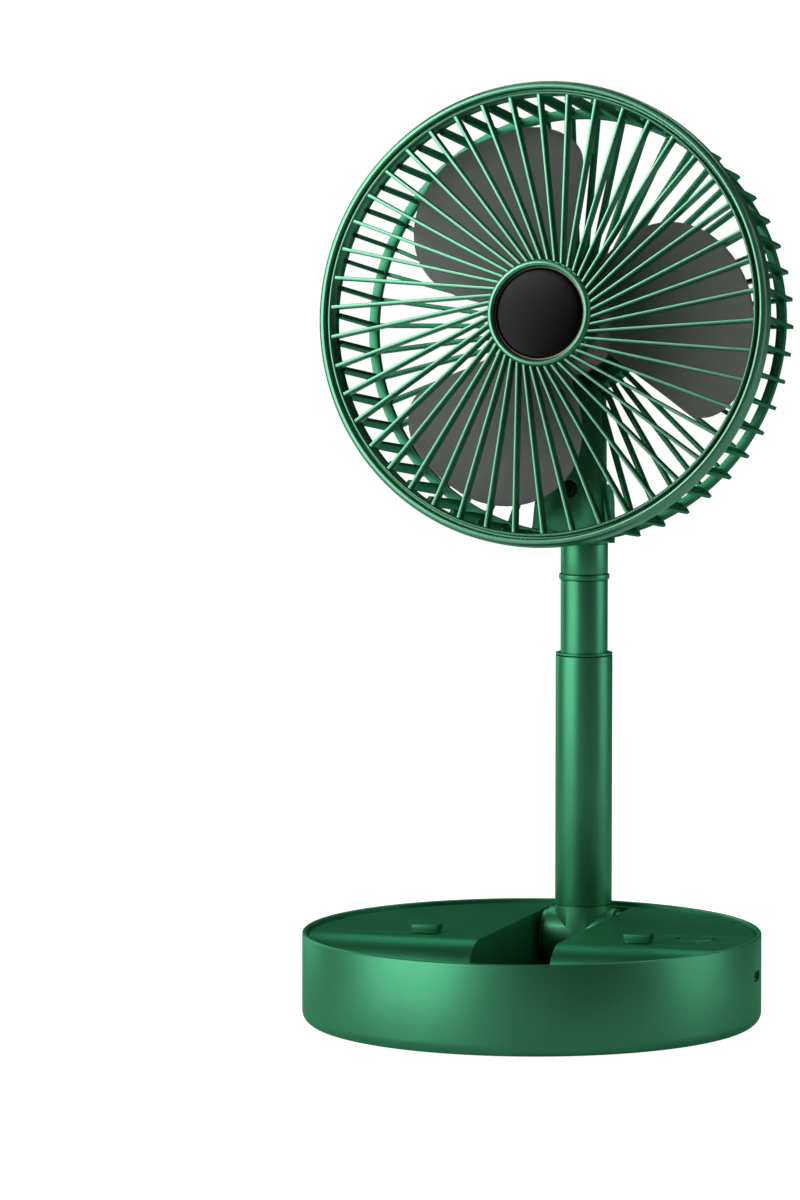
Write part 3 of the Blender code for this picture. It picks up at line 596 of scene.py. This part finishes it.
def build_pole_foot():
    half = high("pole_foot", "x")
    barrel = cylinder(OUTER_R, -half, half, 128, 0.4 * MM)
    foot = add_object("pole_foot_fine", moved(barrel, across(FOLD.y, FOLD.z)), GREEN)
    top = SEAM_Z - GAP
    stub = cylinder(OUTER_R - 0.06 * MM, FOLD.z + 0.1 * MM, top, 128)
    bore = cylinder(FOLD_BORE_R, -30 * MM, 30 * MM)
    at = Matrix.Translation((0, FOLD.y, 0))
    spigot = cylinder(9.9 * MM, top - 1 * MM, top + 10 * MM, 96)
    shaped(foot, ("UNION", moved(stub, at)), ("UNION", moved(spigot, at)),
           ("DIFFERENCE", moved(bore, across(FOLD.y, FOLD.z))))
    foot.data.shade_smooth()
    foot.data.set_sharp_from_angle(angle=math.radians(30))
    fit(foot, "pole", "green_shell", "pole_foot")


def build_tubes():
    at = Matrix.Translation((0, FOLD.y, 0))
    tube_top = high("outer_tube", "z")
    bore = OUTER_R - 0.7 * MM
    tube = [(bore, SEAM_Z), (OUTER_R, SEAM_Z), (OUTER_R, tube_top), (bore, tube_top)]
    fit(add_object("outer_tube_fine", turned(tube, 128, 0.2 * MM), GREEN_TUBE, at), "pole", "green_tube",
        "outer_tube")
    bush_low = low("guide_bush", "z")
    lip = OUTER_TOP - 0.9 * MM
    bush = [(INNER_R + GAP, bush_low), (bore - GAP, bush_low), (bore - GAP, lip), (OUTER_R, lip)]
    bush += [(OUTER_R, OUTER_TOP), (INNER_R + GAP, OUTER_TOP)]
    fit(add_object("guide_bush_fine", turned(bush, 128, 0.35 * MM), GREEN_TUBE, at), "pole", "green_shell",
        "guide_bush")
    start = low("inner_tube", "z")
    ring_low, ring_high = low("neck_ring", "z"), high("neck_ring", "z")
    groove = INNER_R - 0.6 * MM
    inner = INNER_R - 1.1 * MM
    tube = [(inner, start), (INNER_R, start), (INNER_R, ring_low - GAP), (groove, ring_low - GAP)]
    tube += [(groove, ring_high + GAP), (INNER_R, ring_high + GAP), (INNER_R, NECK_Z), (inner, NECK_Z)]
    obj = add_object("inner_tube_fine", turned(tube, 128, 0.15 * MM), GREEN_TUBE, at)
    fit(obj, "inner_pole", "green_tube", "inner_tube")
    ring_r = high("neck_ring", "x")
    ring = [(groove + GAP, ring_low), (ring_r, ring_low), (ring_r, ring_high), (groove + GAP, ring_high)]
    obj = add_object("neck_ring_fine", turned(ring, 128, 0.45 * MM), GREEN_TUBE, at)
    fit(obj, "inner_pole", "green_trim", "neck_ring")


def build_clevis():
    y, z = TILT.y, TILT.z
    half, front, ear, inside = high("neck_clevis", "x"), 11.3 * MM, 9.0 * MM, 5.9 * MM
    side = [(y - front, NECK_Z + GAP), (y + half, NECK_Z + GAP), (y + half, z - 4 * MM)]
    side += arc((y, z), ear, -10, 190, 40) + [(y - front, z - 7.5 * MM)]
    clevis = add_object("neck_clevis_fine", prism(side, -half, half, "yzx"), GREEN)
    slot = box((-inside, y - 30 * MM, z - ear - 0.2 * MM), (inside, y + 30 * MM, z + 30 * MM))
    bore = cylinder(TILT_BORE_R, -20 * MM, 20 * MM)
    shaped(clevis, ("DIFFERENCE", slot), ("DIFFERENCE", moved(bore, across(y, z))))
    bevelled(clevis, 0.7 * MM, 3, 35)
    fit(clevis, "inner_pole", "green_shell", "neck_clevis")
    pin = cylinder(1.9 * MM, -high("tilt_pin", "x"), high("tilt_pin", "x"), 48, 0.3 * MM)
    fit(add_object("tilt_pin_fine", pin, STEEL, across(y, z)), "hinge_pin", "steel", "tilt_pin")
    for hand, sign in (("left", -1), ("right", 1)):
        near, away = sign * 4.9 * MM, sign * 5.6 * MM
        washer = turned([(TILT_BORE_R, near), (6.5 * MM, near), (6.5 * MM, away), (TILT_BORE_R, away)], 64,
                        0.1 * MM)
        obj = add_object(f"friction_washer_{hand}_fine", washer, POLYMER, across(y, z))
        fit(obj, "hinge_pin", "bush_polymer", f"friction_washer_{hand}")


# ---------------------------------------------------------------- head

SPOKES = 46
SPOKE_TURN = math.radians(-2.9)
SWIRL = 8.0 * MM
# along a spoke, in mm: radius, height of its front edge, depth, thickness
SPOKE_STATIONS = ((19.4, 1.3, 5.3, 1.15), (24.0, 1.2, 5.3, 1.15), (50.0, 0.5, 5.3, 1.2),
                  (78.0, -0.3, 5.4, 1.3), (82.8, -0.5, 5.2, 1.5))
FINS = 50
FIN_TURN = 0.9
# along a cage rib, in mm: its outer and its inner edge, each as radius and height
FIN_STATIONS = (((84.6, -9.0), (80.9, -9.0)), ((84.1, -30.0), (80.1, -30.0)), ((83.8, -46.0), (79.5, -46.0)),
                ((83.6, -53.3), (79.4, -48.8)), ((25.0, -54.2), (25.0, -49.4)))


def section(centre, across_dir, out_dir, thickness, depth, ease):
    """A rounded rectangle, thickness along across_dir and depth along out_dir, centred on centre."""
    half_t, half_d = thickness / 2, depth / 2
    corners = [(-half_t, -half_d), (half_t, -half_d), (half_t, half_d), (-half_t, half_d)]
    return [centre + across_dir * p + out_dir * q for p, q in eased([Vector(c) for c in corners], ease, 3)]


def build_front_grille():
    ring = [(82.0, -6.2), (82.0, -1.0), (82.2, -0.3), (82.7, 0.0), (83.2, -0.2), (83.4, -0.8), (83.4, -3.2)]
    ring += [(84.2, -3.2), (84.2, -0.9), (84.5, -0.2), (85.1, 0.0), (86.1, -0.2), (86.8, -0.9), (87.2, -2.2)]
    ring += [(87.2, -7.0), (85.7, -7.0), (85.7, -6.2)]
    hub = [(0.0, -4.0), (20.1, -4.0), (20.1, 1.4), (19.5, 2.4), (18.6, 2.6), (17.7, 2.2), (17.5, 1.2)]
    hub += [(17.5, -1.5), (0.0, -1.5)]
    ribs = [spoke(SPOKE_TURN + math.tau * i / SPOKES) for i in range(SPOKES)]
    parts = [turned(profile(ring), 256, 0.2 * MM), turned(profile(hub), 128, 0.25 * MM), *ribs]
    # The grille's paler green carries painted highlight on its front faces.
    grille = add_object("front_grille_fine", merged(*parts), TRIM_WITH_PAINTED_HIGHLIGHT, HEAD_FRAME)
    fit(grille, "head", "green_trim", "front_grille")
    build_badge()


def spoke(angle):
    """A rounded rib whose line passes beside the head's axis at the distance SWIRL."""
    turn = Matrix.Rotation(angle, 3, "Z")
    side = turn @ Vector((0, 1, 0))
    out = Vector((0, 0, 1))
    rings = []
    for radius, front, depth, thick in SPOKE_STATIONS:
        along = math.sqrt((radius * MM) ** 2 - SWIRL ** 2)
        middle = turn @ Vector((along, -SWIRL, 0)) + out * (front - depth / 2) * MM
        rings.append(section(middle, side, out, thick * MM, depth * MM, 0.4 * MM))
    return lofted(rings)


def build_badge():
    """A blank domed disc with a thin bronze line round it."""
    radius, dome, steps = 16.9 * MM, 1.3 * MM, 24
    face = [(0, -1.2 * MM), (radius, -1.2 * MM), (radius, 0)]
    rise = [math.pi / 2 * k / steps for k in range(1, steps + 1)]
    face += [(radius * math.cos(a), dome * math.sin(a) ** 0.8) for a in rise]
    badge = add_object("hub_badge_fine", turned(face, 128, 0), BLACK, HEAD_FRAME)
    fit(badge, "head", "badge_black", "hub_badge")
    lip = profile([(16.95, -1.2), (17.4, -1.2), (17.4, 0.5), (16.95, 0.4)])
    rim = add_object("badge_rim", turned(lip, 128, 0.1 * MM), BRONZE, HEAD_FRAME)
    fit(rim, "head", "badge_black")


def build_rear_grille():
    band = [(78.6, -49.4), (82.2, -49.4), (82.2, -46.4), (78.6, -46.4)]
    flange = [(82.6, -12.0), (85.4, -12.0), (85.4, -7.3), (82.6, -7.3)]
    cup = [(4.3, -56.0), (25.8, -56.0), (25.8, -45.5), (24.2, -45.5), (24.2, -54.4), (5.8, -54.4)]
    cup += [(5.8, -39.2), (4.3, -39.2)]
    parts = [turned(profile(band), 192, 0.5 * MM), turned(profile(flange), 256, 0.4 * MM),
             turned(profile(cup), 128, 0.4 * MM)]
    parts += [fin(FIN_TURN + 360 * i / FINS) for i in range(FINS)]
    # The cage takes the darker green of painted shade.
    grille = add_object("rear_grille_fine", merged(*parts), CAGE_SHADED, HEAD_FRAME)
    fit(grille, "head", "green_shell", "rear_grille")
    build_spine()


def fin(degrees):
    """An L-shaped rib: back along the cage, round a sharp corner, then straight in to the motor cup."""
    aside = polar(1.0, degrees + 90)
    rings = []
    for station in FIN_STATIONS:
        outer, inner = (polar(r * MM, degrees, w * MM) for r, w in station)
        span = outer - inner
        middle = (outer + inner) / 2
        rings.append(section(middle, aside, span.normalized(), 1.5 * MM, span.length, 0.3 * MM))
    return lofted(rings)


def build_spine():
    """The wedge plate from the motor cup down to the hinge, with its recessed screw."""
    outline = eased(profile([(-14.2, -82.5), (14.2, -82.5), (11.0, -24), (-11.0, -24)]), 2.5 * MM, 6)
    plate = add_object("spine_plate", prism(outline, -55.5 * MM, -47.8 * MM, "xyz"), GREEN, HEAD_FRAME)
    well = turned(profile([(0, -60), (1.5, -60), (1.5, -52), (3.2, -52), (3.2, -40), (0, -40)]), 48, 0)
    screw_v = TILT_V + 5.5 * MM
    shaped(plate, ("DIFFERENCE", moved(well, HEAD_FRAME @ Matrix.Translation((0, screw_v, 0)))))
    bevelled(plate, 0.6 * MM, 3, 40)
    fit(plate, "head", "green_shell")
    screw, arms = cross_screw(2.8 * MM, 1.2 * MM, -51.7 * MM, -49.7 * MM, -61.0 * MM)
    obj = add_object("arm_screw_fine", screw, DARK_STEEL)
    shaped(obj, *(("DIFFERENCE", arm) for arm in arms))
    obj.data.transform(HEAD_FRAME @ Matrix.Translation((0, screw_v, 0)))
    fit(obj, "head", "steel", "arm_screw")


def build_bracket():
    v, w = TILT_V, TILT_W
    lug_r, half = 8.5 * MM, 4.6 * MM
    plate = box((-9.5 * MM, v - 6 * MM, -57.6 * MM), (9.5 * MM, v + 17 * MM, -55.8 * MM))
    bracket = add_object("hinge_bracket_fine", plate, GREEN)
    lug = [(v + 12 * MM, -56.5 * MM), (v - 6 * MM, -56.5 * MM), (v - lug_r, w)]
    lug += arc((v, w), lug_r, 190, 350, 30) + [(v + lug_r, w)]
    pin = moved(cylinder(TILT_BORE_R, -20 * MM, 20 * MM), across(v, w))
    shaped(bracket, ("UNION", prism(lug, -half, half, "yzx")), ("DIFFERENCE", pin))
    bevelled(bracket, 0.5 * MM, 3, 35)
    bracket.data.transform(HEAD_FRAME)
    fit(bracket, "head", "green_shell", "hinge_bracket")


def build_motor():
    cover = [(0, -56.3), (24.4, -56.3), (25.4, -57.3), (24.6, -58.8), (20.0, -60.4), (12.0, -61.2)]
    cover += [(0, -61.4)]
    obj = add_object("motor_cover_fine", turned(profile(cover), 128, 0.5 * MM), GREEN, HEAD_FRAME)
    fit(obj, "head", "green_shell", "motor_cover")
    can = [(2.3, -38.5), (17.8, -38.5), (17.8, -53.2), (19.2, -53.2), (19.2, -37.1), (2.3, -37.1)]
    obj = add_object("rotor_can_fine", turned(profile(can), 96, 0.3 * MM), STEEL, HEAD_FRAME)
    fit(obj, "rotor", "steel", "rotor_can")


# ---------------------------------------------------------------- rotor

BLADES = 3


def blade_edges(radius):
    """Angles of the blade's edges, in degrees: its clockwise side and its counterclockwise side."""
    early = max(0.0, (radius - 30 * MM) / (45.5 * MM))
    late = max(0.0, (radius - 60 * MM) / (15.4 * MM))
    return -12 - 22 * math.sqrt(1 - late * late), 50 * math.sqrt(1 - early * early)


def blade(degrees):
    """One broad petal, pitched across its width, a thin closed sheet with soft edges."""
    bm = bmesh.new()
    radial, chordwise = 26, 24
    root, tip = 19.4 * MM, 75.3 * MM
    middle_w, pitch, middle_heading, sweep = -25 * MM, 8 * MM, 8, 42
    layers = []
    for face in (-1, 1):
        grid = []
        for i in range(radial + 1):
            radius = root + (tip - root) * math.sin(math.pi / 2 * i / radial)
            start, end = blade_edges(radius)
            row = []
            for j in range(chordwise + 1):
                t = j / chordwise
                heading = start + (end - start) * t
                edge = min(1.0, 12 * min(t, 1 - t), 8 * (1 - i / radial))
                w = middle_w + pitch * (heading - middle_heading) / sweep
                w += face * (0.3 + 0.45 * math.sqrt(max(0.0, edge))) * MM
                row.append(bm.verts.new(polar(radius, degrees + heading, w)))
            grid.append(row)
        layers.append(grid)
    back, front = layers
    for i in range(radial):
        for j in range(chordwise):
            bm.faces.new((back[i][j], back[i + 1][j], back[i + 1][j + 1], back[i][j + 1]))
            bm.faces.new((front[i][j], front[i][j + 1], front[i + 1][j + 1], front[i + 1][j]))
        for j in (0, chordwise):
            bm.faces.new((back[i][j], back[i + 1][j], front[i + 1][j], front[i][j]))
    for i in (0, radial):
        for j in range(chordwise):
            bm.faces.new((back[i][j], back[i][j + 1], front[i][j + 1], front[i][j]))
    bmesh.ops.recalc_face_normals(bm, faces=bm.faces)
    return bm


def build_rotor():
    hub = [(2.3, -36.6), (6.0, -36.6), (6.0, -18.5), (16.2, -18.5), (18.7, -21.0), (18.7, -36.6)]
    hub += [(20.5, -36.6), (20.5, -18.0), (18.8, -16.0), (2.3, -16.0)]
    parts = [turned(profile(hub), 128, 0.8 * MM)]
    parts += [blade(360 * i / BLADES) for i in range(BLADES)]
    impeller = add_object("impeller_fine", merged(*parts), GREY, HEAD_FRAME)
    fit(impeller, "rotor", "impeller_grey", "impeller")


def paint_kept_nodes():
    """The inner nodes that keep their CAD shape take these finishes."""
    finishes = {
        STEEL: ("charge_port", "motor_shaft", "shaft_nut", "motor_bearing_rear", "motor_bearing_front"),
        POLYMER: ("slide_bush", "battery_cradle"),
        BOARD: ("control_board",),
        CELL: ("battery_cell_left", "battery_cell_right"),
        COPPER: ("motor_stator",),
    }
    for material, nodes in finishes.items():
        for node in nodes:
            mesh = frame["nodes"][node].data
            mesh.materials.clear()
            mesh.materials.append(material)


def build():
    azimuth = build_camera()
    build_studio(azimuth)
    build_base_shell()
    build_deck()
    build_controls()
    build_fold_hinge()
    build_feet_and_screws()
    build_pole_foot()
    build_tubes()
    build_clevis()
    build_front_grille()
    build_rear_grille()
    build_bracket()
    build_motor()
    build_rotor()
    paint_kept_nodes()


build()
